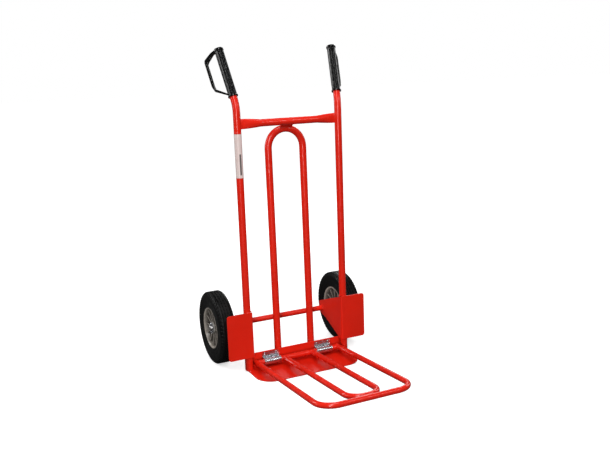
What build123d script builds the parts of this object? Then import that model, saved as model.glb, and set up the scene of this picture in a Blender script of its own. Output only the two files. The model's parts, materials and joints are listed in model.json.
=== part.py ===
from build123d import *
import os
from math import sin, cos, tan, radians, acos, sqrt

os.makedirs("parts", exist_ok=True)

# ---------------------------------------------------------------- dimensions
# X to the right seen from the front, Y to the back (operator's side), Z up.
# Floor at Z = 0, the two side tubes stand in the plane Y = 0.
tube_d = 25.0            # side tubes, cross tube, inner loop
tube_wall = 2.0
half_track = 187.0       # side tube centre from the middle
bend_z = 918.0           # where the side tubes turn back into the handles
bend_r = 110.0
handle_back = 23.7       # degrees
handle_splay = 6.2       # degrees
handle_len = 195.0       # from the bend corner to the tube's end

cross_z = 857.0          # upper cross tube
crush_h = 34.0           # its crushed flat ends
crush_t = 5.2

loop_y = 28.0            # inner loop stands behind the side tubes
loop_top_y = 38.0        # and leans back a little to its crown
loop_half = 65.0
loop_top_z = 830.5       # crown centre line
loop_foot_z = 8.0

sheet = 3.0              # toe plate and wheel brackets
toe_half = 198.5         # the upstand; the floor plate is a little narrower
floor_half = 194.0
toe_front = -131.5
toe_corner_r = 60.0
upstand_face = 12.5
upstand_top = 57.0

bracket_in = 171.5       # inner face of the bracket's side cheek
bracket_out = 266.0
bracket_low = 53.0
bracket_top = 215.0

axle_y = 147.0
axle_z = 130.0
axle_r = 10.0
axle_end = 278.0

wheel_x = 247.5          # wheel middle plane
wheel_r = 130.0
tyre_half = 29.5
rim_r = 73.5
hub_half = 17.5
bush_bore = 10.06

nose_d = 19.0            # fold-down nose frame
nose_wall = 1.5
hinge_y = -3.0
hinge_z = 24.5
nose_rise = 3.8          # degrees, the unfolded frame points slightly up
nose_half = 160.0
nose_len = 508.5         # hinge line to the front tube
nose_corner_r = 58.0
bar_half = 54.5
bar_corner_r = 48.0
tail_low = 16.0          # leg tail behind the hinge line, at its underside
tail_top = 11.4          # and at its top

strap_t = 2.5
strap_in = 71.0
strap_out = 133.0
rivet_r = 2.5
rivet_z = 47.0

tr = tube_d / 2
ti = tr - tube_wall
nr = nose_d / 2
ni = nr - nose_wall

# direction of the right handle
hx = sin(radians(handle_splay))
hy = sin(radians(handle_back)) * cos(radians(handle_splay))
hz = cos(radians(handle_back)) * cos(radians(handle_splay))
corner = Vector(half_track, 0, bend_z)
hdir = Vector(hx, hy, hz)
turn = acos(hz)
t_len = bend_r * tan(turn / 2)
side = (Vector(hx, hy, 0)).normalized()
arc_a = corner - Vector(0, 0, t_len)
arc_b = corner + hdir * t_len
arc_c = arc_a + side * bend_r
arc_m = arc_c + (((arc_a - arc_c) + (arc_b - arc_c)).normalized()) * bend_r
handle_tip = corner + hdir * handle_len

# ------------------------------------------------------------- toe plate
with BuildPart() as toe_plate:
    with BuildSketch(Plane(origin=(-toe_half, 0, 0), x_dir=(0, 1, 0), z_dir=(1, 0, 0))):
        with BuildLine():
            Polyline((toe_front, 0), (upstand_face + sheet, 0), (upstand_face + sheet, upstand_top),
                     (upstand_face, upstand_top), (upstand_face, sheet), (toe_front, sheet), close=True)
        make_face()
    extrude(amount=2 * toe_half)
    fillet(toe_plate.edges().filter_by(Axis.X).group_by(Axis.Y)[-1].group_by(Axis.Z)[0], 5.0)
    fillet(toe_plate.edges().filter_by(Axis.X).filter_by_position(Axis.Y, upstand_face - 0.1, upstand_face + 0.1)
           .filter_by_position(Axis.Z, sheet - 0.1, sheet + 0.1), 2.0)
    with BuildSketch(Plane.XY):
        with Locations((floor_half + 10, toe_front / 2), (-floor_half - 10, toe_front / 2)):
            Rectangle(20, 149)
    extrude(amount=20, mode=Mode.SUBTRACT)
    fillet(toe_plate.edges().filter_by(Axis.Z).group_by(Axis.Y)[0], toe_corner_r)
    fillet(toe_plate.edges().filter_by(Axis.Y).group_by(Axis.Z)[-1], 5.0)
    chamfer(toe_plate.edges().filter_by(Axis.X).group_by(Axis.Y)[0].group_by(Axis.Z)[-1], 0.8)
    with BuildSketch(Plane(origin=(0, upstand_face - 1, rivet_z), x_dir=(1, 0, 0), z_dir=(0, -1, 0))):
        with Locations((-124, 0), (-80, 0), (80, 0), (124, 0)):
            Circle(rivet_r)
    extrude(amount=-(sheet + 2), mode=Mode.SUBTRACT)

# ------------------------------------------------------------- side tubes
with BuildPart() as side_tube_right:
    with BuildLine() as side_path:
        Line((half_track, 0, sheet), arc_a)
        ThreePointArc(arc_a, arc_m, arc_b)
        Line(arc_b, handle_tip)
    with BuildSketch(Plane(origin=(half_track, 0, sheet), z_dir=(0, 0, 1))):
        Circle(tr)
        Circle(ti, mode=Mode.SUBTRACT)
    sweep(path=side_path.line)
    add(toe_plate.part, mode=Mode.SUBTRACT)

with BuildPart() as side_tube_left:
    mirror(side_tube_right.part, about=Plane.YZ)

# solid copy of the side tubes, used only to shape what is welded against them
with BuildPart() as side_core:
    with BuildSketch(Plane.XY.offset(sheet)):
        with Locations((half_track, 0), (-half_track, 0)):
            Circle(tr)
    extrude(amount=880)

# ------------------------------------------------------ upper cross tube
cross_round = 104.0      # round up to here
cross_flat = 165.0       # flat from here to the side tube
with BuildPart() as upper_cross_tube:
    with BuildSketch(Plane(origin=(-cross_round, 0, cross_z), x_dir=(0, 1, 0), z_dir=(1, 0, 0))):
        Circle(tr)
    extrude(amount=2 * cross_round)
    for s in (1, -1):
        with BuildSketch(Plane(origin=(s * cross_round, 0, cross_z), x_dir=(0, 1, 0), z_dir=(1, 0, 0))):
            Circle(tr)
        with BuildSketch(Plane(origin=(s * (cross_round + cross_flat) / 2, 0, cross_z), x_dir=(0, 1, 0), z_dir=(1, 0, 0))):
            Ellipse(8.4, 15.4)
        with BuildSketch(Plane(origin=(s * cross_flat, 0, cross_z), x_dir=(0, 1, 0), z_dir=(1, 0, 0))):
            Ellipse(crush_t / 2, crush_h / 2)
        loft()
        with BuildSketch(Plane(origin=(s * cross_flat, 0, cross_z), x_dir=(0, 1, 0), z_dir=(1, 0, 0))):
            Ellipse(crush_t / 2, crush_h / 2)
        extrude(amount=s * 16)
    add(side_core.part, mode=Mode.SUBTRACT)
    with BuildSketch(Plane(origin=(-cross_round - 8, 0, cross_z), x_dir=(0, 1, 0), z_dir=(1, 0, 0))):
        Circle(ti)
    extrude(amount=2 * cross_round + 16, mode=Mode.SUBTRACT)

# ------------------------------------------------------------ inner loop
loop_lean = (loop_top_y - loop_y) / (loop_top_z - loop_foot_z)
loop_up = Vector(0, loop_lean, 1).normalized()
loop_len = (Vector(0, loop_top_y, loop_top_z) - Vector(0, loop_y, loop_foot_z)).length
loop_a = Vector(-loop_half, loop_y, loop_foot_z)
loop_b = loop_a + loop_up * (loop_len - loop_half)
loop_d = Vector(loop_half, loop_b.Y, loop_b.Z)
loop_e = Vector(loop_half, loop_y, loop_foot_z)
with BuildPart() as inner_loop_tube:
    with BuildLine() as loop_path:
        Line(loop_a, loop_b)
        ThreePointArc(loop_b, (0, loop_top_y, loop_top_z), loop_d)
        Line(loop_d, loop_e)
    with BuildSketch(Plane(origin=loop_a, z_dir=loop_up)):
        Circle(tr)
        Circle(ti, mode=Mode.SUBTRACT)
    sweep(path=loop_path.line)
    add(toe_plate.part, mode=Mode.SUBTRACT)

with BuildPart() as loop_core:
    with BuildLine() as core_path:
        ThreePointArc(loop_b, (0, loop_top_y, loop_top_z), loop_d)
    with BuildSketch(Plane(origin=loop_b, z_dir=loop_up)):
        Circle(tr)
    sweep(path=core_path.line)
    with BuildSketch(Plane(origin=(-60, 0, cross_z), x_dir=(0, 1, 0), z_dir=(1, 0, 0))):
        Circle(tr)
    extrude(amount=120)

# short plate that ties the loop's crown to the cross tube
tie = Vector(0, loop_top_y, loop_top_z - cross_z).normalized()
with BuildPart() as loop_tie_plate:
    with BuildSketch(Plane(origin=(0, loop_top_y / 2, (loop_top_z + cross_z) / 2), x_dir=(1, 0, 0), z_dir=(0, -tie.Z, tie.Y))):
        RectangleRounded(44, 40, 3)
    extrude(amount=2.5, both=True)
    add(loop_core.part, mode=Mode.SUBTRACT)

# -------------------------------------------------------- wheel brackets
cheek_out = bracket_in + sheet
face_y = -tr             # back of the guard face lies against the side tube
with BuildPart() as wheel_bracket_right:
    with BuildSketch(Plane(origin=(0, face_y, 0), x_dir=(1, 0, 0), z_dir=(0, -1, 0))):
        with BuildLine():
            Polyline((bracket_in, bracket_low), (bracket_out, bracket_low), (bracket_out, bracket_top),
                     (bracket_in, bracket_top), close=True)
        make_face()
    extrude(amount=sheet)
    fillet(wheel_bracket_right.edges().filter_by(Axis.Y).group_by(Axis.X)[-1], 9.0)
    with BuildSketch(Plane(origin=(bracket_in, 0, 0), x_dir=(0, 1, 0), z_dir=(1, 0, 0))):
        with BuildLine():
            Polyline((face_y - sheet, bracket_low), (2, bracket_low), (112, 101), (162, 114), (162, 156),
                     (face_y, bracket_top), (face_y - sheet, bracket_top), close=True)
        make_face()
    extrude(amount=sheet)
    fillet(wheel_bracket_right.edges().filter_by(Axis.X).group_by(Axis.Y)[-1], 4.0)
    fillet(wheel_bracket_right.edges().filter_by(Axis.Z)
           .filter_by_position(Axis.X, bracket_in - 0.1, bracket_in + 0.1)
           .filter_by_position(Axis.Y, face_y - sheet - 0.1, face_y - sheet + 0.1), 6.0)
    fillet(wheel_bracket_right.edges().filter_by(Axis.Z)
           .filter_by_position(Axis.X, cheek_out - 0.1, cheek_out + 0.1)
           .filter_by_position(Axis.Y, face_y - 0.1, face_y + 0.1), 3.0)
    with BuildSketch(Plane(origin=(bracket_in - 1, axle_y, axle_z), x_dir=(0, 1, 0), z_dir=(1, 0, 0))):
        Circle(axle_r)
    extrude(amount=sheet + 2, mode=Mode.SUBTRACT)

with BuildPart() as wheel_bracket_left:
    mirror(wheel_bracket_right.part, about=Plane.YZ)

# ------------------------------------------------------------------ axle
pin_x = wheel_x + hub_half + 3.3 + 3.0 + 2.2
with BuildPart() as axle_rod:
    with BuildSketch(Plane(origin=(-axle_end, axle_y, axle_z), x_dir=(0, 1, 0), z_dir=(1, 0, 0))):
        Circle(axle_r)
    extrude(amount=2 * axle_end)
    chamfer(axle_rod.edges().filter_by(GeomType.CIRCLE), 1.5)
    with BuildSketch(Plane.XY.offset(axle_z - 20)):
        with Locations((pin_x, axle_y), (-pin_x, axle_y)):
            Circle(2.1)
    extrude(amount=40, mode=Mode.SUBTRACT)

with BuildPart() as axle_spacers:
    for s in (1, -1):
        with BuildSketch(Plane(origin=(s * cheek_out, axle_y, axle_z), x_dir=(0, 1, 0), z_dir=(s, 0, 0))):
            Circle(14.0)
            Circle(axle_r, mode=Mode.SUBTRACT)
        extrude(amount=wheel_x - hub_half - 3.0 - 0.3 - cheek_out)

with BuildPart() as axle_washers:
    for s in (1, -1):
        with BuildSketch(Plane(origin=(s * (wheel_x + hub_half + 3.3), axle_y, axle_z), x_dir=(0, 1, 0), z_dir=(s, 0, 0))):
            Circle(18.5)
            Circle(axle_r, mode=Mode.SUBTRACT)
        extrude(amount=3.0)
    chamfer(axle_washers.edges().filter_by(GeomType.CIRCLE).filter_by(lambda e: e.radius > 15), 0.4)

with BuildPart() as split_pins:
    for s in (1, -1):
        with BuildSketch(Plane(origin=(s * pin_x, axle_y, axle_z - 12.5), z_dir=(0, 0, 1))):
            Circle(2.0)
        extrude(amount=24.0)
        with Locations(Plane(origin=(s * pin_x, axle_y, axle_z + 14.4), x_dir=(0, 1, 0), z_dir=(1, 0, 0))):
            Torus(3.2, 1.35)
        for t in (1, -1):
            with BuildSketch(Plane(origin=(s * pin_x, axle_y + t * 0.7, axle_z - 11.6), x_dir=(1, 0, 0), z_dir=(0, t * 0.62, -0.78))):
                Circle(0.9)
            extrude(amount=8.0)

# ---------------------------------------------------------------- wheels
def wheel_plane(s):
    return Plane(origin=(s * wheel_x, axle_y, axle_z), x_dir=(1, 0, 0), z_dir=(0, -1, 0))


wheel_axis_r = Axis((wheel_x, axle_y, axle_z), (1, 0, 0))
groove_d = 3.2
with BuildPart() as tyre_right:
    with BuildSketch(wheel_plane(1)) as tyre_section:
        with BuildLine():
            Polyline((-25.5, rim_r), (-27.0, 77), (-28.2, 90), (-tyre_half, 106), (-tyre_half, 118), (-25.6, 126),
                     (-20, wheel_r), (20, wheel_r), (25.6, 126), (tyre_half, 118), (tyre_half, 106), (28.2, 90),
                     (27.0, 77), (25.5, rim_r), close=True)
        make_face()
        fillet(tyre_section.vertices().filter_by(lambda v: v.Y > 88), 3.0)
        for g in (-14.5, -5.0, 5.0, 14.5):
            with Locations((g, wheel_r)):
                Rectangle(2.6, 2 * groove_d, mode=Mode.SUBTRACT)
    revolve(axis=wheel_axis_r, revolution_arc=360)

rib_count = 12
with BuildPart() as rim_right:
    with BuildSketch(wheel_plane(1)):
        with BuildLine():
            Polyline((-26.5, rim_r), (-26.5, rim_r - 3), (-24, rim_r - 6), (-8, rim_r - 9), (-3, rim_r - 14),
                     (-3, 27), (-6, 23.5), (-hub_half, 21.5), (-hub_half, 15), (hub_half, 15), (hub_half, 21.5), (6, 23.5),
                     (3, 27), (3, rim_r - 14), (8, rim_r - 9), (24, rim_r - 6), (26.5, rim_r - 3), (26.5, rim_r),
                     close=True)
        make_face()
    revolve(axis=wheel_axis_r, revolution_arc=360)
    for k in range(rib_count):
        a = radians(360 / rib_count * k)
        with BuildSketch(Plane(origin=(wheel_x, axle_y, axle_z), x_dir=(1, 0, 0), z_dir=(0, -cos(a), -sin(a)))):
            with BuildLine():
                Polyline((-15.5, 20), (-20, rim_r - 5.5), (20, rim_r - 5.5), (15.5, 20), close=True)
            make_face()
        extrude(amount=1.8, both=True)

with BuildPart() as bushes_right:
    with BuildSketch(wheel_plane(1)):
        for s in (1, -1):
            with BuildLine():
                Polyline((s * 4, bush_bore), (s * 4, 15), (s * hub_half, 15), (s * hub_half, 19.5),
                         (s * (hub_half + 3), 19.5), (s * (hub_half + 3), bush_bore), close=True)
            make_face()
    revolve(axis=wheel_axis_r, revolution_arc=360)

with BuildPart() as tyre_left:
    mirror(tyre_right.part, about=Plane.YZ)
with BuildPart() as rim_left:
    mirror(rim_right.part, about=Plane.YZ)
with BuildPart() as bushes_left:
    mirror(bushes_right.part, about=Plane.YZ)

# ----------------------------------------------------------------- grips
# guard loop points outward and back, at right angles to the handle
guard_turn = 48.0
outw = (Vector(1, 0, 0) - hdir * hdir.X).normalized()
backw = outw.cross(hdir).normalized()
if backw.Y < 0:
    backw = backw * -1
guard_dir = outw * cos(radians(guard_turn)) + backw * sin(radians(guard_turn))
grip_plane = Plane(origin=corner, x_dir=guard_dir, z_dir=guard_dir.cross(hdir))
grip_axis = Axis(corner, hdir)
grip_low = 31.0
grip_high = 204.0
with BuildPart() as grip_right:
    with BuildSketch(grip_plane) as guard_outline:
        with BuildLine():
            Polyline((13, 203), (30, 199.5), (59, 185), (62, 176), (62, 91), (55.5, 71), (13, 40), (13, 47),
                     (50.5, 78.5), (53, 92), (53, 167), (47, 174), (24, 189.5), (13, 192), close=True)
        make_face()
        fillet(guard_outline.vertices().filter_by(lambda v: v.X > 20), 3.5)
    extrude(amount=5.3, both=True)
    fillet(grip_right.edges().filter_by(lambda e: abs((e.center() - corner).dot(grip_plane.z_dir)) > 5.2
                                        and (e.center() - corner).dot(guard_dir) > 14), 2.2)
    with BuildSketch(grip_plane):
        with BuildLine():
            Polyline((0, grip_low), (16.2, grip_low), (17.2, grip_low + 1.2), (17.2, grip_low + 4.0),
                     (15.6, grip_low + 5.6), (14.3, grip_low + 6.4), (14.3, 192), (16.6, 194.5), (16.6, 199),
                     (14.8, 201.8), (10, 203.4), (0, grip_high), close=True)
        make_face()
    revolve(axis=grip_axis, revolution_arc=360)
    with BuildSketch(Plane(origin=corner + hdir * (grip_low + 6), x_dir=guard_dir, z_dir=hdir)):
        with PolarLocations(13.7, 14, start_angle=360 / 28):
            Circle(1.3)
    extrude(amount=162)
    with BuildSketch(Plane(origin=corner + hdir * (grip_low - 1), x_dir=guard_dir, z_dir=hdir)):
        Circle(tr)
    extrude(amount=handle_len - grip_low + 1, mode=Mode.SUBTRACT)

with BuildPart() as grip_left:
    mirror(grip_right.part, about=Plane.YZ)

# ------------------------------------------------------------ nose frame
rs = sin(radians(nose_rise))
rc = cos(radians(nose_rise))
# local x across, local y towards the back, origin on the hinge line
nose_plane = Plane(origin=(0, hinge_y, hinge_z), x_dir=(1, 0, 0), z_dir=(0, rs, rc))
side_plane = Plane(origin=(-200, hinge_y, hinge_z), x_dir=(0, rc, -rs), z_dir=(1, 0, 0))


def nose_point(x, y):
    return nose_plane.from_local_coords((x, y, 0))


c45 = cos(radians(45))
with BuildPart() as nose_outer_tube:
    na = nose_half - nose_corner_r
    nb = -nose_len + nose_corner_r
    with BuildLine() as nose_path:
        Line(nose_point(-nose_half, 22), nose_point(-nose_half, nb))
        ThreePointArc(nose_point(-nose_half, nb), nose_point(-na - nose_corner_r * c45, nb - nose_corner_r * c45),
                      nose_point(-na, -nose_len))
        Line(nose_point(-na, -nose_len), nose_point(na, -nose_len))
        ThreePointArc(nose_point(na, -nose_len), nose_point(na + nose_corner_r * c45, nb - nose_corner_r * c45),
                      nose_point(nose_half, nb))
        Line(nose_point(nose_half, nb), nose_point(nose_half, 22))
    with BuildSketch(Plane(origin=nose_point(-nose_half, 22), z_dir=(0, -rc, rs))):
        Circle(nr)
        Circle(ni, mode=Mode.SUBTRACT)
    sweep(path=nose_path.line)
    # leg tails trimmed so that only their underside meets the upstand
    with BuildSketch(side_plane):
        with BuildLine():
            Polyline((tail_low, -nr), (tail_top, nr), (tail_top, 20), (60, 20), (60, -20), (tail_low, -20), close=True)
        make_face()
    extrude(amount=400, mode=Mode.SUBTRACT)

with BuildPart() as leg_core:
    with BuildSketch(Plane(origin=nose_point(0, 40), x_dir=(1, 0, 0), z_dir=(0, -rc, rs))):
        with Locations((nose_half, 0), (-nose_half, 0)):
            Circle(nr)
    extrude(amount=90)

with BuildPart() as nose_hinge_tube:
    with BuildSketch(Plane(origin=(-nose_half, hinge_y, hinge_z), x_dir=(0, 1, 0), z_dir=(1, 0, 0))):
        Circle(nr)
        Circle(ni, mode=Mode.SUBTRACT)
    extrude(amount=2 * nose_half)
    add(leg_core.part, mode=Mode.SUBTRACT)

with BuildPart() as nose_inner_tube:
    ba = bar_half - bar_corner_r
    bf = -nose_len + nose_d
    bb = bf + bar_corner_r
    with BuildLine() as bar_path:
        Line(nose_point(-bar_half, 0), nose_point(-bar_half, bb))
        ThreePointArc(nose_point(-bar_half, bb), nose_point(-ba - bar_corner_r * c45, bb - bar_corner_r * c45),
                      nose_point(-ba, bf))
        Line(nose_point(-ba, bf), nose_point(ba, bf))
        ThreePointArc(nose_point(ba, bf), nose_point(ba + bar_corner_r * c45, bb - bar_corner_r * c45),
                      nose_point(bar_half, bb))
        Line(nose_point(bar_half, bb), nose_point(bar_half, 0))
    with BuildSketch(Plane(origin=nose_point(-bar_half, 0), z_dir=(0, -rc, rs))):
        Circle(nr)
        Circle(ni, mode=Mode.SUBTRACT)
    sweep(path=bar_path.line)
    with BuildSketch(Plane(origin=(-100, hinge_y, hinge_z), x_dir=(0, 1, 0), z_dir=(1, 0, 0))):
        Circle(nr)
    extrude(amount=200, mode=Mode.SUBTRACT)

# ---------------------------------------------------------- hinge straps
eye_i = nr + 0.08
eye_o = eye_i + strap_t
with BuildPart() as hinge_strap_right:
    with BuildSketch(Plane(origin=(strap_in, 0, 0), x_dir=(0, 1, 0), z_dir=(1, 0, 0))) as strap_section:
        with Locations((hinge_y, hinge_z)):
            Circle(eye_o)
            Circle(eye_i, mode=Mode.SUBTRACT)
        with BuildLine():
            Polyline((hinge_y, hinge_z), (hinge_y + 20 * cos(radians(12)), hinge_z + 20 * sin(radians(12))),
                     (hinge_y + 20 * cos(radians(44)), hinge_z + 20 * sin(radians(44))), close=True)
        make_face(mode=Mode.SUBTRACT)
        with BuildLine():
            Polyline((hinge_y, hinge_z + eye_i), (upstand_face, hinge_z + eye_i), (upstand_face, upstand_top - 3.5),
                     (upstand_face - strap_t, upstand_top - 3.5), (upstand_face - strap_t, hinge_z + eye_o),
                     (hinge_y, hinge_z + eye_o), close=True)
        make_face()
    extrude(amount=strap_out - strap_in)
    fillet(hinge_strap_right.edges().filter_by(Axis.X)
           .filter_by_position(Axis.Y, upstand_face - strap_t - 0.1, upstand_face - strap_t + 0.1)
           .filter_by_position(Axis.Z, hinge_z + eye_o - 0.1, hinge_z + eye_o + 0.1), 2.0)
    fillet(hinge_strap_right.edges().filter_by(Axis.Y).group_by(Axis.Z)[-1], 3.0)
    with BuildSketch(Plane(origin=(0, upstand_face + 1, rivet_z), x_dir=(1, 0, 0), z_dir=(0, -1, 0))):
        with Locations((80, 0), (124, 0)):
            Circle(rivet_r)
    extrude(amount=6, mode=Mode.SUBTRACT)

with BuildPart() as hinge_strap_left:
    mirror(hinge_strap_right.part, about=Plane.YZ)

leaf_face = upstand_face - strap_t
back_face = upstand_face + sheet
with BuildPart() as hinge_rivets:
    for rx in (-124, -80, 80, 124):
        with BuildSketch(Plane(origin=(rx, 0, rivet_z), x_dir=(1, 0, 0), z_dir=(0, 0, 1))):
            with BuildLine():
                Polyline((0, leaf_face - 2.6), (1.6, leaf_face - 2.5), (3.4, leaf_face - 1.7), (4.5, leaf_face),
                         (rivet_r, leaf_face), (rivet_r, back_face), (4.0, back_face), (3.4, back_face + 1.3),
                         (0, back_face + 1.8), close=True)
            make_face()
        revolve(axis=Axis((rx, 0, rivet_z), (0, 1, 0)), revolution_arc=360)

# ------------------------------------------------------------ plain label
with BuildPart() as label_band:
    with BuildSketch(Plane.XY.offset(678)):
        with Locations((-half_track, 0)):
            Circle(tr + 0.25)
            Circle(tr, mode=Mode.SUBTRACT)
        with BuildLine():
            Polyline((-half_track, 0), (-half_track - 4, 20), (-half_track + 34, 20), (-half_track + 20, -1), close=True)
        make_face(mode=Mode.SUBTRACT)
    extrude(amount=150)

# ---------------------------------------------------------------- export
side_tube_left.part.label = "side_tube_left"
side_tube_right.part.label = "side_tube_right"
upper_cross_tube.part.label = "upper_cross_tube"
inner_loop_tube.part.label = "inner_loop_tube"
loop_tie_plate.part.label = "loop_tie_plate"
toe_plate.part.label = "toe_plate"
wheel_bracket_left.part.label = "wheel_bracket_left"
wheel_bracket_right.part.label = "wheel_bracket_right"
axle_rod.part.label = "axle_rod"
axle_spacers.part.label = "axle_spacers"
axle_washers.part.label = "axle_washers"
split_pins.part.label = "split_pins"
tyre_left.part.label = "tyre_left"
tyre_right.part.label = "tyre_right"
rim_left.part.label = "rim_left"
rim_right.part.label = "rim_right"
bushes_left.part.label = "bushes_left"
bushes_right.part.label = "bushes_right"
grip_left.part.label = "grip_left"
grip_right.part.label = "grip_right"
nose_outer_tube.part.label = "nose_outer_tube"
nose_hinge_tube.part.label = "nose_hinge_tube"
nose_inner_tube.part.label = "nose_inner_tube"
hinge_strap_left.part.label = "hinge_strap_left"
hinge_strap_right.part.label = "hinge_strap_right"
hinge_rivets.part.label = "hinge_rivets"
label_band.part.label = "label_band"

export_step(side_tube_left.part, "parts/side_tube_left.step")
export_step(side_tube_right.part, "parts/side_tube_right.step")
export_step(upper_cross_tube.part, "parts/upper_cross_tube.step")
export_step(inner_loop_tube.part, "parts/inner_loop_tube.step")
export_step(loop_tie_plate.part, "parts/loop_tie_plate.step")
export_step(toe_plate.part, "parts/toe_plate.step")
export_step(wheel_bracket_left.part, "parts/wheel_bracket_left.step")
export_step(wheel_bracket_right.part, "parts/wheel_bracket_right.step")
export_step(axle_rod.part, "parts/axle_rod.step")
export_step(axle_spacers.part, "parts/axle_spacers.step")
export_step(axle_washers.part, "parts/axle_washers.step")
export_step(split_pins.part, "parts/split_pins.step")
export_step(tyre_left.part, "parts/tyre_left.step")
export_step(tyre_right.part, "parts/tyre_right.step")
export_step(rim_left.part, "parts/rim_left.step")
export_step(rim_right.part, "parts/rim_right.step")
export_step(bushes_left.part, "parts/bushes_left.step")
export_step(bushes_right.part, "parts/bushes_right.step")
export_step(grip_left.part, "parts/grip_left.step")
export_step(grip_right.part, "parts/grip_right.step")
export_step(nose_outer_tube.part, "parts/nose_outer_tube.step")
export_step(nose_hinge_tube.part, "parts/nose_hinge_tube.step")
export_step(nose_inner_tube.part, "parts/nose_inner_tube.step")
export_step(hinge_strap_left.part, "parts/hinge_strap_left.step")
export_step(hinge_strap_right.part, "parts/hinge_strap_right.step")
export_step(hinge_rivets.part, "parts/hinge_rivets.step")
export_step(label_band.part, "parts/label_band.step")
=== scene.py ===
import bpy
import json
import math
from mathutils import Matrix, Vector


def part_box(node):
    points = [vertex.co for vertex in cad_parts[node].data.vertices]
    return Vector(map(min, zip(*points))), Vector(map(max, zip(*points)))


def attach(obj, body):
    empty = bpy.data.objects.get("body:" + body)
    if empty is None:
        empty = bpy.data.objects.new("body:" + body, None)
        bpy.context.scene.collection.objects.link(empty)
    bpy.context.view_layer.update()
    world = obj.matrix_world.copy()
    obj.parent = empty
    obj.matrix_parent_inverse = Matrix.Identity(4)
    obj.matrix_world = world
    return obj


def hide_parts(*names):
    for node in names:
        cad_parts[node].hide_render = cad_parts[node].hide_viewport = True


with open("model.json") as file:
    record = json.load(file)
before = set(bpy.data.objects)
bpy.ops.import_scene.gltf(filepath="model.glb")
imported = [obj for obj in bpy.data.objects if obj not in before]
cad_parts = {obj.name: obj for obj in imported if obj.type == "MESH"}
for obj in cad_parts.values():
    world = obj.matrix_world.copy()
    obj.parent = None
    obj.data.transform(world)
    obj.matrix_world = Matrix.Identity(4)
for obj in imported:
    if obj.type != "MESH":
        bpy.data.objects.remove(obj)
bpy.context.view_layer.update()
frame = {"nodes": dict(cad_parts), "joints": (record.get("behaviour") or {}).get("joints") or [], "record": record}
nodes = frame["nodes"]


scene = bpy.context.scene

# ---------------------------------------------------------------- camera
f_px = 776.4852
rx, ry, rz = 0.2023, 0.4423, -0.036
cam_at = Vector((-1.0912, -2.4004, 1.0376))
base = Matrix(((1, 0, 0), (0, 0, -1), (0, 1, 0)))
yaw = Matrix(((math.cos(ry), -math.sin(ry), 0), (math.sin(ry), math.cos(ry), 0), (0, 0, 1)))
pitch = Matrix(((1, 0, 0), (0, math.cos(rx), -math.sin(rx)), (0, math.sin(rx), math.cos(rx))))
roll = Matrix(((math.cos(rz), -math.sin(rz), 0), (math.sin(rz), math.cos(rz), 0), (0, 0, 1)))
look = roll @ pitch @ base @ yaw
cam_data = bpy.data.cameras.new("camera")
cam = bpy.data.objects.new("camera", cam_data)
scene.collection.objects.link(cam)
cam_data.sensor_width = 36.0
cam_data.lens = 36.0 * f_px / 610.0
cam_data.clip_end = 100.0
turn = Matrix((look[0], -look[1], -look[2])).transposed()
cam.matrix_world = Matrix.Translation(cam_at) @ turn.to_4x4()
scene.camera = cam


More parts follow.
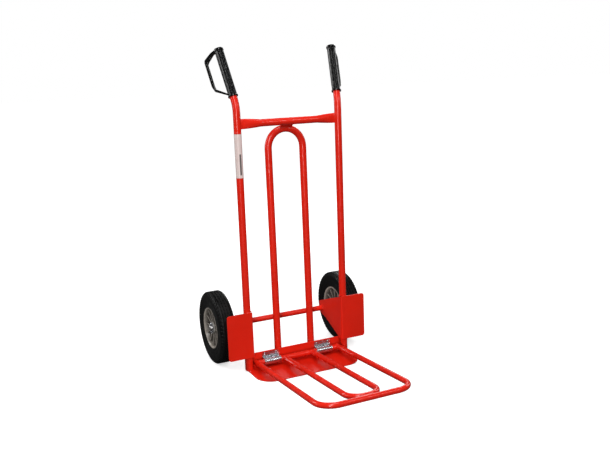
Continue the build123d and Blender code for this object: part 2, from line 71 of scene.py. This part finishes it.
# ------------------------------------------------------------- materials
class Tree:
    """Short hands for building a material's nodes."""

    def __init__(self, name):
        self.mat = bpy.data.materials.new(name)
        self.mat.use_nodes = True
        self.t = self.mat.node_tree
        self.bsdf = self.t.nodes["Principled BSDF"]
        coord = self.t.nodes.new("ShaderNodeTexCoord")
        self.pos = coord.outputs["Object"]

    def new(self, kind, **props):
        n = self.t.nodes.new(kind)
        for k, v in props.items():
            setattr(n, k, v)
        return n

    def link(self, a, b):
        self.t.links.new(a, b)

    def put(self, socket, v):
        if isinstance(v, bpy.types.NodeSocket):
            self.link(v, socket)
        else:
            socket.default_value = v

    def noise(self, scale, detail=3.0, rough=0.55, stretch=None, distortion=0.0):
        n = self.new("ShaderNodeTexNoise")
        n.inputs["Scale"].default_value = scale
        n.inputs["Detail"].default_value = detail
        n.inputs["Roughness"].default_value = rough
        n.inputs["Distortion"].default_value = distortion
        if stretch:
            m = self.new("ShaderNodeMapping")
            m.inputs["Scale"].default_value = stretch
            self.link(self.pos, m.inputs["Vector"])
            self.link(m.outputs["Vector"], n.inputs["Vector"])
        else:
            self.link(self.pos, n.inputs["Vector"])
        return n.outputs["Fac"]

    def remap(self, v, lo, hi, a, b):
        n = self.new("ShaderNodeMapRange")
        self.link(v, n.inputs["Value"])
        n.inputs["From Min"].default_value = lo
        n.inputs["From Max"].default_value = hi
        n.inputs["To Min"].default_value = a
        n.inputs["To Max"].default_value = b
        return n.outputs["Result"]

    def math(self, op, a, b=0.0, c=0.0, clamp=False):
        n = self.new("ShaderNodeMath", operation=op, use_clamp=clamp)
        for i, v in enumerate((a, b, c)):
            self.put(n.inputs[i], v)
        return n.outputs[0]

    def mix(self, fac, a, b, blend="MIX"):
        n = self.new("ShaderNodeMix", data_type="RGBA", blend_type=blend)
        self.put(n.inputs["Factor"], fac)
        for s, v in (("A", a), ("B", b)):
            sock = [i for i in n.inputs if i.name == s and i.type == "RGBA"][0]
            if isinstance(v, bpy.types.NodeSocket):
                self.link(v, sock)
            else:
                sock.default_value = (*v, 1.0)
        return [o for o in n.outputs if o.type == "RGBA"][0]

    def bump(self, height, strength, distance, under=None):
        n = self.new("ShaderNodeBump")
        n.inputs["Strength"].default_value = strength
        n.inputs["Distance"].default_value = distance
        self.link(height, n.inputs["Height"])
        if under is not None:
            self.link(under, n.inputs["Normal"])
        return n.outputs["Normal"]

    def sep(self):
        n = self.new("ShaderNodeSeparateXYZ")
        self.link(self.pos, n.inputs[0])
        return n.outputs

    def edges(self, radius, lo=0.0, hi=0.25):
        """1 close to a sharp edge, 0 on the flats."""
        bev = self.new("ShaderNodeBevel", samples=4)
        bev.inputs["Radius"].default_value = radius
        geo = self.new("ShaderNodeNewGeometry")
        dot = self.new("ShaderNodeVectorMath", operation="DOT_PRODUCT")
        self.link(bev.outputs["Normal"], dot.inputs[0])
        self.link(geo.outputs["Normal"], dot.inputs[1])
        return self.remap(self.math("SUBTRACT", 1.0, dot.outputs["Value"]), lo, hi, 0.0, 1.0)

    def crevice(self, distance):
        """1 in the open, lower in tight corners."""
        ao = self.new("ShaderNodeAmbientOcclusion", samples=6)
        ao.inputs["Distance"].default_value = distance
        return ao.outputs["AO"]


def paint(name, lit, deep, worn, rough=(0.26, 0.40), coat=0.30):
    """Gloss stove enamel: orange peel, faint clouding, thin edges, small scuffs and painted shade in the corners."""
    m = Tree(name)
    cloud = m.remap(m.noise(7.0, 4.0), 0.35, 0.68, 0.0, 1.0)
    fine = m.remap(m.noise(140.0, 3.0), 0.38, 0.66, 0.0, 1.0)
    col = m.mix(m.math("MULTIPLY", cloud, 0.32), lit, deep)
    col = m.mix(m.math("MULTIPLY", fine, 0.08), col, deep)
    # painted shade: the colour goes darker towards a dark copy of the deep tone in tight corners found by ambient
    # occlusion
    crevice_shade = m.remap(m.crevice(0.012), 0.35, 0.85, 0.55, 0.0)
    col = m.mix(crevice_shade, col, tuple(c * 0.32 for c in deep))
    chips = m.remap(m.noise(330.0, 4.0, 0.7), 0.56, 0.62, 0.0, 1.0)
    edge = m.math("MULTIPLY", m.edges(0.0012, 0.02, 0.20), m.remap(chips, 0.0, 1.0, 0.16, 0.75))
    col = m.mix(m.math("MULTIPLY", edge, 0.55), col, worn)
    scuff = m.noise(46.0, 5.0, 0.62, stretch=(3.0, 0.5, 0.5), distortion=0.6)
    scuff = m.remap(scuff, 0.71, 0.75, 0.0, 0.10)
    low = m.remap(m.sep()[2], 0.02, 0.25, 1.0, 0.25)
    scuff = m.math("MULTIPLY", scuff, low)
    col = m.mix(scuff, col, tuple(min(1, c * 1.1 + 0.10) for c in lit))
    m.link(col, m.bsdf.inputs["Base Color"])
    r = m.remap(m.noise(26.0, 4.0), 0.3, 0.7, rough[0], rough[1])
    r = m.math("ADD", r, m.math("MULTIPLY", scuff, 0.6))
    m.link(r, m.bsdf.inputs["Roughness"])
    peel = m.noise(520.0, 2.0, 0.5)
    n = m.bump(peel, 0.22, 0.00012)
    n = m.bump(m.noise(60.0, 2.0), 0.12, 0.0002, n)
    m.link(n, m.bsdf.inputs["Normal"])
    m.bsdf.inputs["Coat Weight"].default_value = coat
    m.bsdf.inputs["Coat Roughness"].default_value = 0.12
    m.bsdf.inputs["Specular IOR Level"].default_value = 0.35
    m.bsdf.inputs["IOR"].default_value = 1.45
    return m.mat


def axle_steel(name):
    """Round bar: enamelled between the brackets, bright turned steel where it carries the wheels."""
    m = Tree(name)
    bare = m.remap(m.math("ABSOLUTE", m.sep()[0]), 0.1835, 0.1850, 0.0, 1.0)
    cloud = m.remap(m.noise(9.0, 4.0), 0.35, 0.68, 0.0, 1.0)
    red = m.mix(m.math("MULTIPLY", cloud, 0.55), (0.88, 0.020, 0.006), (0.66, 0.011, 0.004))
    turned = m.noise(260.0, 3.0, 0.6, stretch=(3.0, 0.15, 0.15))
    steel = m.mix(m.remap(turned, 0.3, 0.7, 0.0, 1.0), (0.74, 0.72, 0.69), (0.50, 0.48, 0.46))
    m.link(m.mix(bare, red, steel), m.bsdf.inputs["Base Color"])
    m.link(bare, m.bsdf.inputs["Metallic"])
    m.link(m.remap(turned, 0.3, 0.7, 0.28, 0.42), m.bsdf.inputs["Roughness"])
    m.link(m.bump(turned, 0.2, 0.0001), m.bsdf.inputs["Normal"])
    m.bsdf.inputs["Specular IOR Level"].default_value = 0.4
    return m.mat


def zinc(name):
    """Bright zinc plating: patchy spangle, rolling lines, painted shade in the corners."""
    m = Tree(name)
    spangle = m.new("ShaderNodeTexVoronoi")
    spangle.inputs["Scale"].default_value = 210.0
    m.link(m.pos, spangle.inputs["Vector"])
    tone = m.remap(spangle.outputs["Distance"], 0.0, 0.8, 0.0, 1.0)
    patch = m.remap(m.noise(38.0, 4.0), 0.35, 0.65, 0.0, 1.0)
    col = m.mix(m.math("MULTIPLY", tone, 0.5), (0.66, 0.67, 0.71), (0.42, 0.44, 0.50))
    col = m.mix(m.math("MULTIPLY", patch, 0.35), col, (0.66, 0.64, 0.62))
    # painted shade: the colour goes near black in tight corners found by ambient occlusion
    crevice_shade = m.remap(m.crevice(0.006), 0.3, 0.9, 0.7, 0.0)
    col = m.mix(crevice_shade, col, (0.16, 0.15, 0.15))
    m.link(col, m.bsdf.inputs["Base Color"])
    m.bsdf.inputs["Metallic"].default_value = 1.0
    lines = m.noise(300.0, 2.0, 0.5, stretch=(0.12, 3.0, 3.0))
    m.link(m.remap(m.math("ADD", m.math("MULTIPLY", tone, 0.3), lines), 0.3, 1.0, 0.13, 0.30), m.bsdf.inputs["Roughness"])
    n = m.bump(lines, 0.25, 0.0001)
    n = m.bump(m.noise(58.0, 3.0), 0.35, 0.0007, n)
    m.link(n, m.bsdf.inputs["Normal"])
    return m.mat


def rubber(name):
    """Black tyre rubber: grey bloom, dust low on the tread, fine pitted skin."""
    m = Tree(name)
    bloom = m.remap(m.noise(22.0, 5.0), 0.38, 0.72, 0.0, 1.0)
    grit = m.remap(m.noise(420.0, 3.0, 0.7), 0.55, 0.72, 0.0, 1.0)
    col = m.mix(m.math("MULTIPLY", bloom, 0.6), (0.0012, 0.0012, 0.0013), (0.0045, 0.0043, 0.0040))
    col = m.mix(m.math("MULTIPLY", grit, 0.30), col, (0.030, 0.028, 0.026))
    edge = m.edges(0.0012, 0.03, 0.3)
    col = m.mix(m.math("MULTIPLY", edge, 0.35), col, (0.030, 0.030, 0.031))
    m.link(col, m.bsdf.inputs["Base Color"])
    m.link(m.remap(bloom, 0.0, 1.0, 0.34, 0.58), m.bsdf.inputs["Roughness"])
    n = m.bump(m.noise(650.0, 3.0, 0.6), 0.35, 0.00022)
    n = m.bump(m.noise(90.0, 3.0), 0.15, 0.0004, n)
    m.link(n, m.bsdf.inputs["Normal"])
    m.bsdf.inputs["Specular IOR Level"].default_value = 0.16
    return m.mat


def moulded(name, lit, deep, rough, grain, worn, crevice_shade_amount=0.6, spec=0.5, reach=0.018, band=(0.2, 0.85)):
    """Injection moulded plastic: flow clouding, satin grain, polished high spots, painted shade in the pockets."""
    m = Tree(name)
    cloud = m.remap(m.noise(18.0, 4.0), 0.34, 0.68, 0.0, 1.0)
    speck = m.remap(m.noise(520.0, 2.0, 0.6), 0.5, 0.75, 0.0, 1.0)
    col = m.mix(cloud, lit, deep)
    col = m.mix(m.math("MULTIPLY", speck, 0.12), col, worn)
    col = m.mix(m.math("MULTIPLY", m.edges(0.0009, 0.03, 0.3), 0.30), col, worn)
    # painted shade: the colour goes darker towards a dark copy of the deep tone in pockets found by ambient occlusion
    crevice_shade = m.remap(m.crevice(reach), band[0], band[1], crevice_shade_amount, 0.0)
    col = m.mix(crevice_shade, col, tuple(c * 0.22 for c in deep))
    m.link(col, m.bsdf.inputs["Base Color"])
    m.link(m.remap(m.noise(34.0, 4.0), 0.3, 0.7, rough[0], rough[1]), m.bsdf.inputs["Roughness"])
    n = m.bump(m.noise(900.0, 2.0, 0.5), 0.3, grain)
    n = m.bump(m.noise(120.0, 3.0), 0.12, 0.0004, n)
    m.link(n, m.bsdf.inputs["Normal"])
    m.bsdf.inputs["Specular IOR Level"].default_value = spec
    return m.mat


def label_film(name):
    """Plain film: pale band with a plain dark strip along it, and faintly lifting, dusty edges."""
    m = Tree(name)
    x, y, z = m.sep()
    cloud = m.remap(m.noise(40.0, 3.0), 0.35, 0.7, 0.0, 1.0)
    pale = m.mix(m.math("MULTIPLY", cloud, 0.35), (0.80, 0.66, 0.63), (0.70, 0.50, 0.47))
    inset = m.math("MINIMUM", m.remap(z, 0.6800, 0.6812, 0.0, 1.0), m.remap(z, 0.8248, 0.8260, 1.0, 0.0))
    col = m.mix(inset, (0.62, 0.035, 0.02), pale)
    strip = m.math("MINIMUM", m.remap(z, 0.6900, 0.6906, 0.0, 1.0), m.remap(z, 0.7594, 0.7600, 1.0, 0.0))
    side = m.math("MINIMUM", m.remap(x, -0.1895, -0.1890, 0.0, 1.0), m.remap(x, -0.1835, -0.1830, 1.0, 0.0))
    col = m.mix(m.math("MULTIPLY", m.math("MULTIPLY", strip, side), 0.85), col, (0.035, 0.030, 0.032))
    scratch = m.remap(m.noise(160.0, 4.0, 0.7, stretch=(4.0, 4.0, 0.4)), 0.62, 0.68, 0.0, 0.35)
    col = m.mix(scratch, col, (0.62, 0.10, 0.07))
    m.link(col, m.bsdf.inputs["Base Color"])
    m.link(m.remap(cloud, 0.0, 1.0, 0.25, 0.42), m.bsdf.inputs["Roughness"])
    m.link(m.bump(m.noise(210.0, 3.0), 0.2, 0.0002), m.bsdf.inputs["Normal"])
    return m.mat


tube_paint = paint("tube_enamel", (0.84, 0.019, 0.006), (0.60, 0.010, 0.004), (0.80, 0.13, 0.08), rough=(0.20, 0.32))
plate_paint = paint("plate_enamel", (0.84, 0.018, 0.005), (0.60, 0.010, 0.003), (0.76, 0.12, 0.08), rough=(0.30, 0.44), coat=0.12)
axle_finish = axle_steel("axle_finish")
zinc_plate = zinc("zinc_plating")
tyre_rubber = rubber("tyre_rubber")
rim_grey = moulded("rim_moulding", (0.48, 0.43, 0.37), (0.30, 0.265, 0.23), (0.20, 0.34), 0.0002, (0.55, 0.52, 0.49), 0.96, 0.6, 0.045, (0.35, 0.92))
bush_plastic = moulded("bush_moulding", (0.50, 0.49, 0.46), (0.40, 0.39, 0.37), (0.35, 0.5), 0.0001, (0.6, 0.59, 0.56))
grip_black = moulded("grip_moulding", (0.0016, 0.0016, 0.0018), (0.0010, 0.0010, 0.0012), (0.10, 0.17), 0.00001, (0.006, 0.006, 0.0065), 0.3, 0.5)
label_mat = label_film("plain_label")
by_slot = {
    "tube_paint": tube_paint,
    "plate_paint": plate_paint,
    "zinc_plate": zinc_plate,
    "tyre_rubber": tyre_rubber,
    "rim_grey": rim_grey,
    "bush_plastic": bush_plastic,
    "grip_black": grip_black,
    "label_film": label_mat,
}
for sub in frame["record"]["subparts"]:
    o = nodes[sub["node"]]
    m = by_slot[sub["material_slot"]]
    if sub["node"] == "axle_rod":
        m = axle_finish
    if not o.material_slots:
        o.data.materials.append(m)
    for s in o.material_slots:
        s.material = m


# ---------------------------------------------------------- mesh helpers
def make_mesh(name, verts, faces, material, body, smooth=True):
    me = bpy.data.meshes.new(name)
    me.from_pydata([tuple(v) for v in verts], [], faces)
    me.validate()
    me.update()
    o = bpy.data.objects.new(name, me)
    scene.collection.objects.link(o)
    me.materials.append(material)
    if smooth:
        me.shade_smooth()
    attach(o, body)
    return o


def hash01(i):
    """The same unordered number from 0 to 1 for the same i."""
    return (math.sin(i * 127.1 + 11.7) * 43758.5453) % 1.0


def bead(name, path, normals, radius, body, material, closed=False, squash=0.62, ripple=0.16, pitch=0.0026):
    """A weld bead: a low rippled string along path. normals point out of the seam at each point."""
    n = len(path)
    ring = 10
    verts, faces = [], []
    run = 0.0
    for i, p in enumerate(path):
        a = path[(i - 1) % n] if closed or i else path[i]
        b = path[(i + 1) % n] if closed or i < n - 1 else path[i]
        t = (b - a).normalized()
        up = normals[i] - t * normals[i].dot(t)
        up.normalize()
        across = t.cross(up)
        if i:
            run += (p - path[i - 1]).length
        k = run / pitch
        r = radius * (1 + ripple * (abs(math.sin(math.pi * k)) - 0.6) + 0.12 * (hash01(int(k)) - 0.5))
        if not closed:
            ends = min(i, n - 1 - i) / 3.0
            r *= min(1.0, 0.35 + 0.65 * ends) if ends < 1 else 1.0
        for j in range(ring):
            w = 2 * math.pi * j / ring
            verts.append(p + across * (r * math.cos(w)) + up * (r * squash * math.sin(w)))
    last = n if closed else n - 1
    for i in range(last):
        for j in range(ring):
            a, b = i * ring + j, i * ring + (j + 1) % ring
            c, d = ((i + 1) % n) * ring + (j + 1) % ring, ((i + 1) % n) * ring + j
            faces.append((a, b, c, d))
    if not closed:
        faces.append(tuple(range(ring))[::-1])
        faces.append(tuple((n - 1) * ring + j for j in range(ring)))
    return make_mesh(name, verts, faces, material, body)


def ring_path(centre, axis, radius, count, start=0.0, sweep=2 * math.pi, ref=None):
    """Points round a circle, with normals half way between outward and along the axis."""
    axis = axis.normalized()
    ref = (ref or (Vector((0, 0, 1)) if abs(axis.z) < 0.9 else Vector((1, 0, 0))))
    u = (ref - axis * ref.dot(axis)).normalized()
    v = axis.cross(u)
    pts, nor = [], []
    full = abs(sweep - 2 * math.pi) < 1e-6
    for i in range(count):
        w = start + sweep * i / (count if full else count - 1)
        out = u * math.cos(w) + v * math.sin(w)
        pts.append(centre + out * radius)
        nor.append((out + axis).normalized())
    return pts, nor


X = Vector((1, 0, 0))
Y = Vector((0, 1, 0))
Z = Vector((0, 0, 1))

# ------------------------------------------------- sizes, read off the frame
half = 0.187
tr = 0.0125
toe_lo, toe_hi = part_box("toe_plate")
up_top = toe_hi.z
up_back = toe_hi.y
sheet = 0.003
up_face = up_back - sheet
floor_half = 0.194
loop_lo, loop_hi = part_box("inner_loop_tube")
loop_half = (loop_hi.x - loop_lo.x) / 2 - tr
br_lo, br_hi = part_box("wheel_bracket_right")
ax_lo, ax_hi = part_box("axle_rod")
axle_y, axle_z, axle_r = (ax_lo.y + ax_hi.y) / 2, (ax_lo.z + ax_hi.z) / 2, (ax_hi.z - ax_lo.z) / 2
cross_z = 0.857
crown = Vector((0, 0.038, 0.8305))
hinge_joint = [j for j in frame["joints"] if j["name"] == "nose_fold"][0]
hinge = Vector(hinge_joint["pos_m"])
rise = math.radians(3.8)
fwd = Vector((0, -math.cos(rise), math.sin(rise)))
up = Vector((0, math.sin(rise), math.cos(rise)))
nr = 0.0095
nose_half = 0.160
nose_len = 0.5085
bar_half = 0.0545

# ------------------------------------------------------------ weld beads
for s, side in ((-1, "left"), (1, "right")):
    body, slot = "frame", "tube_paint"
    pts, nor = ring_path(Vector((half, 0, sheet)), Z, tr + 0.0006, 56, math.radians(64), math.radians(232), X)
    pts = [Vector((s * p.x, p.y, p.z)) for p in pts]
    nor = [Vector((s * p.x, p.y, p.z)) for p in nor]
    bead(f"weld_foot_{side}", pts, nor, 0.0021, body, tube_paint)
    # crushed end of the cross tube
    pts, nor = [], []
    for i in range(84):
        w = 2 * math.pi * i / 84
        y, z = 0.0032 * math.cos(w), 0.0174 * math.sin(w)
        pts.append(Vector((s * (half - math.sqrt(tr * tr - y * y) - 0.0003), y, cross_z + z)))
        nor.append(Vector((-s * 0.8, math.cos(w), math.sin(w))))
    bead(f"weld_cross_{side}", pts, nor, 0.0016, body, tube_paint, closed=True)
    # wheel bracket: top edge against the tube, tube against the face, tube against the cheek
    face = br_lo.y + sheet
    pts = [Vector((s * (half - 0.0095 + 0.019 * i / 26), face - 0.0006 + 0.0011 * abs(i / 13 - 1) ** 2, br_hi.z + 0.0002)) for i in range(27)]
    bead(f"weld_bracket_top_{side}", pts, [Vector((0, -0.35, 1))] * 27, 0.0019, body, tube_paint)
    pts = [Vector((s * (half + 0.0060), face + 0.0008, br_lo.z + 0.004 + (br_hi.z - br_lo.z - 0.008) * i / 110)) for i in range(111)]
    bead(f"weld_bracket_face_{side}", pts, [Vector((s, 1, 0))] * 111, 0.0017, body, plate_paint)
    inner = br_lo.x + sheet
    pts = [Vector((s * (inner + 0.0012), 0.0060, br_lo.z + 0.004 + (br_hi.z - br_lo.z - 0.008) * i / 110)) for i in range(111)]
    bead(f"weld_bracket_cheek_{side}", pts, [Vector((s, 1, 0))] * 111, 0.0019, body, plate_paint)
    pts = [Vector((s * (inner - 0.0010), -0.0062 + 0.011 * i / 16, br_hi.z + 0.0002)) for i in range(17)]
    bead(f"weld_bracket_corner_{side}", pts, [Vector((-s * 0.3, 0, 1))] * 17, 0.0024, body, plate_paint, ripple=0.24)
    pts, nor = ring_path(Vector((s * br_lo.x, axle_y, axle_z)), Vector((-s, 0, 0)), axle_r + 0.0005, 72)
    bead(f"weld_axle_{side}", pts, nor, 0.0019, body, tube_paint, closed=True)
    # feet of the inner loop on the back of the upstand
    for k, d in (("a", -1), ("b", 1)):
        pts = [Vector((s * loop_half + d * 0.0055, up_back + 0.0011, 0.011 + (up_top - 0.013) * i / 34)) for i in range(35)]
        bead(f"weld_loop_{side}_{k}", pts, [Vector((d * 0.7, 1, 0))] * 35, 0.0021, body, tube_paint)
    pts = [Vector((s * loop_half - 0.0085 + 0.017 * i / 22, up_back - 0.0006 + 0.0008 * abs(i / 11 - 1) ** 2, up_top - 0.0001)) for i in range(23)]
    bead(f"weld_loop_top_{side}", pts, [Vector((0, -0.4, 1))] * 23, 0.0019, body, tube_paint)
    # nose: hinge tube into the outer leg, inner leg onto the hinge tube
    pts, nor = [], []
    for i in range(64):
        w = 2 * math.pi * i / 64
        out = fwd * math.cos(w) + up * math.sin(w)
        pts.append(hinge + out * (nr + 0.0002) + X * (s * (nose_half - nr * abs(math.cos(w)) - 0.0003)))
        nor.append(out - X * s * 0.8)
    bead(f"weld_nose_corner_{side}", pts, nor, 0.0014, "nose", tube_paint, closed=True)
    pts, nor = [], []
    for i in range(64):
        w = 2 * math.pi * i / 64
        out = X * math.cos(w) + up * math.sin(w)
        pts.append(hinge + X * (s * bar_half) + out * (nr + 0.0002) + fwd * (nr * abs(math.cos(w)) + 0.0003))
        nor.append(out + fwd * 0.8)
    bead(f"weld_nose_bar_{side}", pts, nor, 0.0014, "nose", tube_paint, closed=True)
for k, d in (("top", 1), ("under", -1)):
    pts = [hinge + fwd * (nose_len - nr) + up * (d * 0.0052) + X * (-0.021 + 0.042 * i / 44) for i in range(45)]
    bead(f"weld_nose_front_{k}", pts, [up * d] * 45, 0.0027, "nose", tube_paint)
# tie plate
d = (crown - Vector((0, 0, cross_z))).normalized()
pn = X.cross(d).normalized()
if pn.z < 0:
    pn = -pn
lean = Vector((0, 0.0100, 0.8225)).normalized()
for k, q in (("front", -1), ("back", 1)):
    pts = [Vector((-0.0215 + 0.043 * i / 34, 0, cross_z)) + d * 0.01225 + pn * (q * 0.0030) for i in range(35)]
    bead(f"weld_tie_cross_{k}", pts, [pn * q + d * 0.5] * 35, 0.0015, "frame", tube_paint)
    pts = []
    for i in range(35):
        x = -0.0215 + 0.043 * i / 34
        c = crown - lean * 0.065 + lean * math.sqrt(0.065 ** 2 - x * x) + X * x
        o = (c - crown).dot(pn)
        e = q * 0.0030 - o
        pts.append(c + pn * e - d * math.sqrt(max(1e-9, tr * tr - e * e)))
    bead(f"weld_tie_loop_{k}", pts, [pn * q - d * 0.5] * 35, 0.0015, "frame", tube_paint)


# ----------------------------------------------------------------- tyres
def tyre(name, node, body):
    """The tyre with its zigzag grooves, shoulder slots and moulded sidewall rings."""
    lo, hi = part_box(node)
    c = (lo + hi) / 2
    hw, R = (hi.x - lo.x) / 2, (hi.z - lo.z) / 2
    count, pitches = 480, 60
    wall = [(25.5, 73.6), (26.3, 75.4), (27.0, 77.4), (27.2, 80.4), (26.6, 81.2), (26.7, 83.6), (27.6, 84.4), (28.0, 88.0),
            (28.3, 92.5), (28.7, 96.4), (28.1, 97.2), (28.2, 99.6), (29.0, 100.4), (29.3, 104.0), (29.45, 108.0), (29.5, 112.0),
            (29.2, 116.2), (28.5, 119.4), (28.0, 120.2)]
    scale_x = hw / 0.0295
    cols = []
    for x, r in wall:
        cols.append(("w", -x, r))
    cols += [("s", -27.4, 121.6), ("s", -26.4, 124.6), ("s", -24.0, 127.4), ("s", -21.2, 129.2), ("e", -20.2, 129.6)]
    for g in (-15.0, -5.0, 5.0, 15.0):
        cols += [("z", g - 2.0, 130.0), ("g", g - 1.2, 126.9), ("g", g + 1.2, 126.9), ("z", g + 2.0, 130.0)]
    cols += [("e", 20.2, 129.6), ("s", 21.2, 129.2), ("s", 24.0, 127.4), ("s", 26.4, 124.6), ("s", 27.4, 121.6)]
    for x, r in wall[::-1]:
        cols.append(("w", x, r))
    verts, faces = [], []
    n = len(cols)
    for i in range(count):
        w = 2 * math.pi * i / count
        k = (i * pitches / count) % 1.0
        tri = 4 * abs(k - 0.5) - 1
        for kind, x, r in cols:
            xx, rr = x, r
            if kind in "zg":
                xx += 1.15 * tri * (1 if abs(x) < 9 else 0.6)
            if kind == "s":
                shift = k if x > 0 else (k + 0.5) % 1.0
                if 0.30 < shift < 0.70:
                    deep = 2.4 if abs(x) > 22 else 1.5
                    rr -= deep
                    xx -= math.copysign(0.7, x) if abs(x) > 25 else 0
            rr = min(rr / 130.0 * R, R)
            verts.append(Vector((c.x + xx * scale_x / 1000, c.y + rr * math.cos(w), c.z + rr * math.sin(w))))
    for i in range(count):
        a, b = i * n, ((i + 1) % count) * n
        for j in range(n):
            k = (j + 1) % n
            faces.append((a + j, a + k, b + k, b + j))
    o = make_mesh(name, verts, faces, tyre_rubber, body)
    o.data.set_sharp_from_angle(angle=math.radians(38))
    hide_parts(node)
    return o


tyre("tyre_left_tread", "tyre_left", "wheel_left")
tyre("tyre_right_tread", "tyre_right", "wheel_right")

# ------------------------------------------------------ floor and lights
me = bpy.data.meshes.new("floor")
me.from_pydata([(-30, -30, 0), (30, -30, 0), (30, 30, 0), (-30, 30, 0)], [], [(0, 1, 2, 3)])
floor = bpy.data.objects.new("floor", me)
scene.collection.objects.link(floor)
floor.location.z = -0.0003
fm = Tree("floor_paint")
tone = fm.mix(fm.remap(fm.noise(1.4, 2.0), 0.3, 0.7, 0.0, 1.0), (0.90, 0.90, 0.90), (0.87, 0.87, 0.87))
fm.link(tone, fm.bsdf.inputs["Base Color"])
fm.bsdf.inputs["Roughness"].default_value = 0.9
fm.bsdf.inputs["Specular IOR Level"].default_value = 0.05
glow = fm.new("ShaderNodeEmission")
glow.inputs["Color"].default_value = (1.0, 1.0, 1.0, 1.0)
fx, fy, fz = fm.sep()
far = fm.math("SQRT", fm.math("ADD", fm.math("MULTIPLY", fx, fx), fm.math("MULTIPLY", fy, fy)))
fm.link(fm.remap(far, 0.9, 3.2, 0.60, 1.0), glow.inputs["Strength"])
both = fm.new("ShaderNodeAddShader")
fm.link(fm.bsdf.outputs[0], both.inputs[0])
fm.link(glow.outputs[0], both.inputs[1])
grey = fm.new("ShaderNodeBsdfDiffuse")
grey.inputs["Color"].default_value = (0.10, 0.10, 0.10, 1.0)
path = fm.new("ShaderNodeLightPath")
pick = fm.new("ShaderNodeMixShader")
fm.link(path.outputs["Is Camera Ray"], pick.inputs["Fac"])
fm.link(grey.outputs[0], pick.inputs[1])
fm.link(both.outputs[0], pick.inputs[2])
fm.link(pick.outputs[0], fm.t.nodes["Material Output"].inputs["Surface"])
me.materials.append(fm.mat)

world = bpy.data.worlds.new("studio")
scene.world = world
world.use_nodes = True
wt = world.node_tree
bg = wt.nodes["Background"]
bg.inputs["Color"].default_value = (1.0, 1.0, 1.0, 1.0)
bg.inputs["Strength"].default_value = 0.07
seen = wt.nodes.new("ShaderNodeBackground")
seen.inputs["Color"].default_value = (1.0, 1.0, 1.0, 1.0)
seen.inputs["Strength"].default_value = 1.0
glossy = wt.nodes.new("ShaderNodeBackground")
glossy.inputs["Color"].default_value = (1.0, 1.0, 1.0, 1.0)
glossy.inputs["Strength"].default_value = 0.10
lp = wt.nodes.new("ShaderNodeLightPath")
mg = wt.nodes.new("ShaderNodeMixShader")
wt.links.new(lp.outputs["Is Glossy Ray"], mg.inputs["Fac"])
wt.links.new(bg.outputs[0], mg.inputs[1])
wt.links.new(glossy.outputs[0], mg.inputs[2])
mx = wt.nodes.new("ShaderNodeMixShader")
wt.links.new(lp.outputs["Is Camera Ray"], mx.inputs["Fac"])
wt.links.new(mg.outputs[0], mx.inputs[1])
wt.links.new(seen.outputs[0], mx.inputs[2])
wt.links.new(mx.outputs[0], wt.nodes["World Output"].inputs["Surface"])


def area(name, at, to, size, power, colour=(1, 1, 1)):
    d = bpy.data.lights.new(name, "AREA")
    d.shape = "RECTANGLE"
    d.size, d.size_y = size
    d.energy = power
    d.color = colour
    o = bpy.data.objects.new(name, d)
    scene.collection.objects.link(o)
    o.location = at
    o.rotation_euler = (Vector(to) - Vector(at)).to_track_quat("-Z", "Y").to_euler()
    return o


area("key", (-1.75, -3.1, 1.5), (0, 0, 0.55), (0.4, 2.7), 72)
area("grips", (-0.85, -1.9, 3.0), (0, 0, 0.9), (0.22, 1.0), 20)
area("fill", (1.35, -2.4, 1.9), (0, -0.1, 0.2), (0.9, 0.25), 9)
area("side_left", (-3.3, 0.5, 1.5), (0, 0, 0.5), (0.5, 1.8), 13)
area("side_right", (3.3, 0.5, 1.5), (0, 0, 0.5), (0.5, 1.8), 16)
area("top", (0.1, -0.9, 3.8), (0, -0.2, 0.2), (1.6, 1.6), 48)
area("back", (-2.4, 2.1, 1.8), (0, 0, 0.6), (0.5, 1.8), 30)
area("back_right", (1.9, 2.6, 2.2), (0, 0, 0.5), (1.2, 1.6), 28)
scene.view_settings.view_transform = "Standard"
scene.view_settings.look = "None"
scene.view_settings.exposure = 0.0
